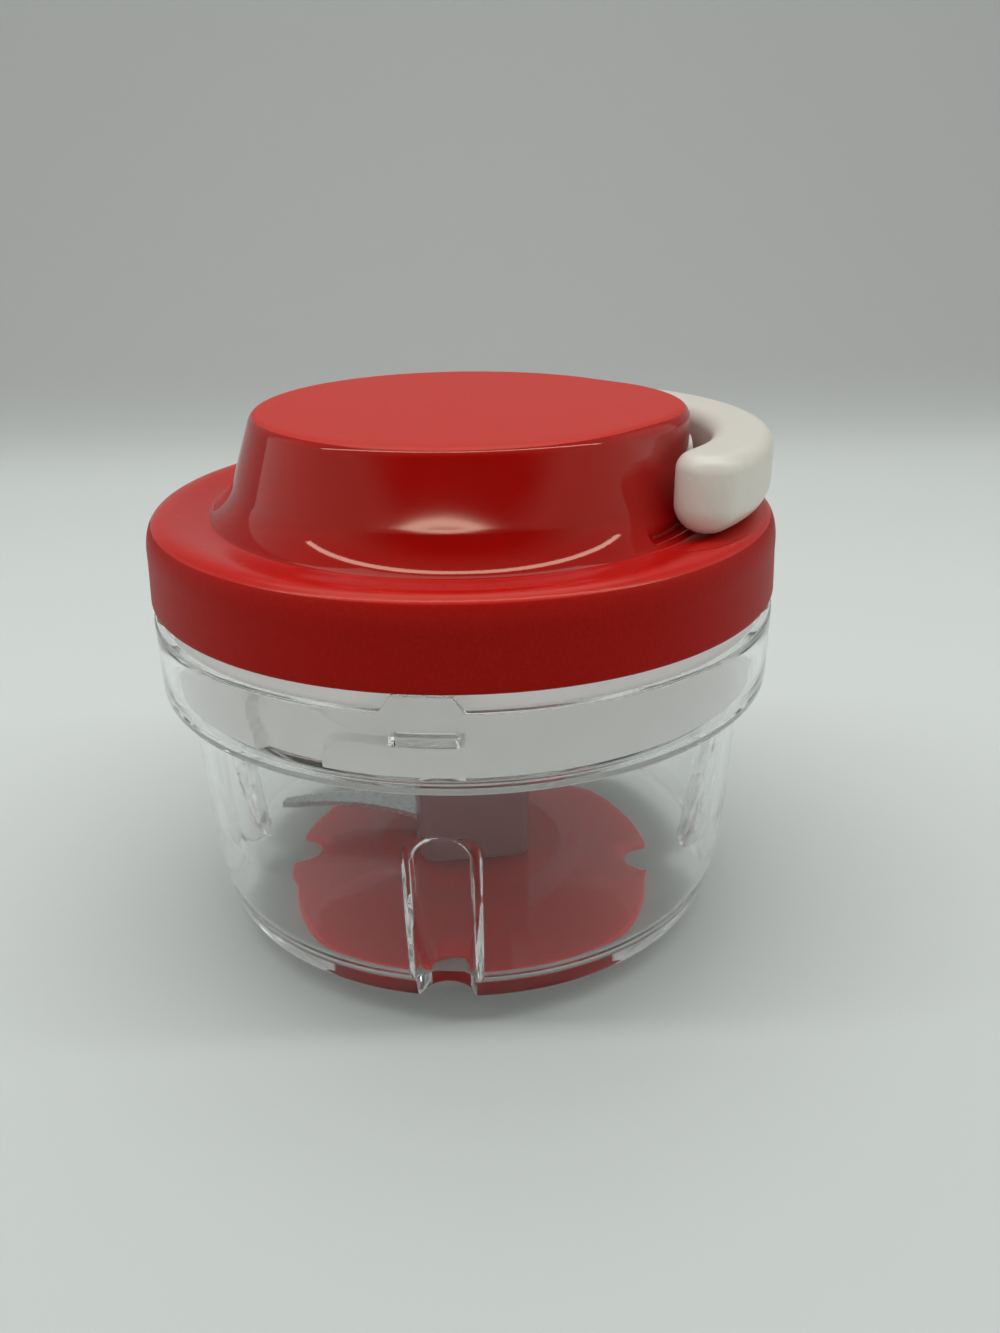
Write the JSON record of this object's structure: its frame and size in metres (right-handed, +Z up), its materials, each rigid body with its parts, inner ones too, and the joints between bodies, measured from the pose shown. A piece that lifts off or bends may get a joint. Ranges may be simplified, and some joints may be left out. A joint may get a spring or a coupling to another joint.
{
  "type": "manual pull cord food chopper",
  "caption": "Hand food chopper: clear bowl with a bayonet lid, a crescent handle on a pull cord, and a spring-return reel that spins a blade column.",
  "frame": {"origin": "middle of the non-slip pad's underside, on the bowl's axis", "axes": "+Z up along the bowl's axis, +X the way the handle is pulled, the pictured front at -Y"},
  "size_m": [0.119, 0.119, 0.1014],
  "materials": {
    "clear_plastic": "polished clear moulding",
    "pad_rubber": "matte soft rubber",
    "red_plastic": "glossy dome, fine-textured top and skirt",
    "white_plastic": "satin moulding",
    "ivory_plastic": "satin moulding",
    "reel_plastic": "plain moulding",
    "grey_plastic": "satin moulding",
    "cord_fibre": "braided cord",
    "blade_steel": "ground stainless steel",
    "spring_steel": "blued strip",
    "screw_steel": "zinc plated",
    "bearing_brass": "turned"
  },
  "bodies": {
    "base": {"bowl": "clear_plastic", "base_pad": "pad_rubber"},
    "lid": {"lid_cover": "red_plastic", "lid_insert": "white_plastic", "lid_screws": "screw_steel", "cord_eyelet": "white_plastic", "axle": "screw_steel", "axle_washer": "screw_steel", "axle_screw": "screw_steel", "spring_arbor": "bearing_brass", "mainspring": "spring_steel", "drive_bush": "bearing_brass", "cord_run": "cord_fibre"},
    "rotor": {"drum": "reel_plastic", "drive_plate": "reel_plastic", "drum_screws": "screw_steel", "cord_winding": "cord_fibre", "drive_coupler": "reel_plastic", "blade_column": "grey_plastic", "blade_lower": "blade_steel", "blade_middle": "blade_steel", "blade_upper": "blade_steel", "pivot_bush": "bearing_brass"},
    "pull_handle": {"handle": "ivory_plastic", "handle_plug": "ivory_plastic", "cord_knot": "cord_fibre", "cord_lead": "cord_fibre"}
  },
  "joints": [
    {"name": "lid_turn", "type": "hinge", "parent": "base", "child": "lid", "pos_m": [0, 0, 0.0609], "axis": [0, 0, 1], "range_deg": [0, 24]},
    {"name": "handle_pull", "type": "slide", "parent": "lid", "child": "pull_handle", "axis": [1, 0, 0], "range_m": [0, 0.24], "stiffness_N_per_m": 30, "springref_m": -0.05, "deforming": ["cord_lead"]},
    {"name": "rotor_spin", "type": "hinge", "parent": "lid", "child": "rotor", "pos_m": [0, 0, 0.0904], "axis": [0, 0, 1], "range_deg": [0, 984], "deforming": ["mainspring"]}
  ],
  "couplings": [
    {"joint": "rotor_spin", "follows": "handle_pull", "rad_per_m": 71.429}
  ]
}
